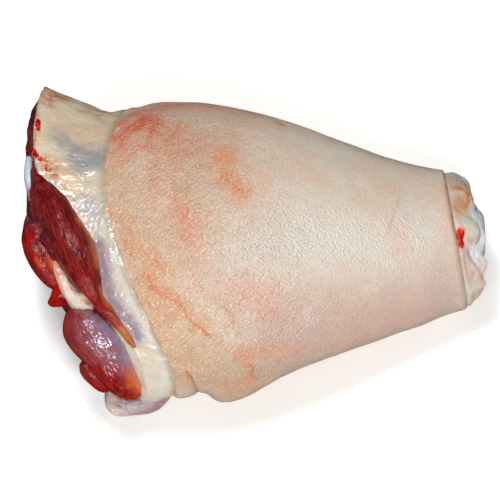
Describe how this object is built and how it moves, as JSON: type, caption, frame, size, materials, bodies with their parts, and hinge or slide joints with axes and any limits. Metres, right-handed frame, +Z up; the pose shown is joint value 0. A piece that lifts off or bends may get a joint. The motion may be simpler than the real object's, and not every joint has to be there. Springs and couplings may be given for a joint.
{
  "type": "raw pork knuckle",
  "caption": "Raw pork knuckle lying on its side, with its rind trimmed back from fat and muscle at the thick cut and the shin bone showing at both cuts.",
  "frame": {"origin": "on the table, under the middle of the whole", "axes": "+X along the leg from the knee cut to the hock cut, +Y to the side where the fat collar flares, +Z up"},
  "size_m": [0.2116, 0.1476, 0.0894],
  "materials": {
    "rind_and_meat": "moist cream rind with pink patches, white fat and dark red muscle at the thick cut",
    "shin_bone": "wet, glossy, blue-white gristle on the bone's two ends"
  },
  "bodies": {
    "root": {"rind_and_meat": "rind_and_meat", "shin_bone": "shin_bone"}
  },
  "joints": []
}
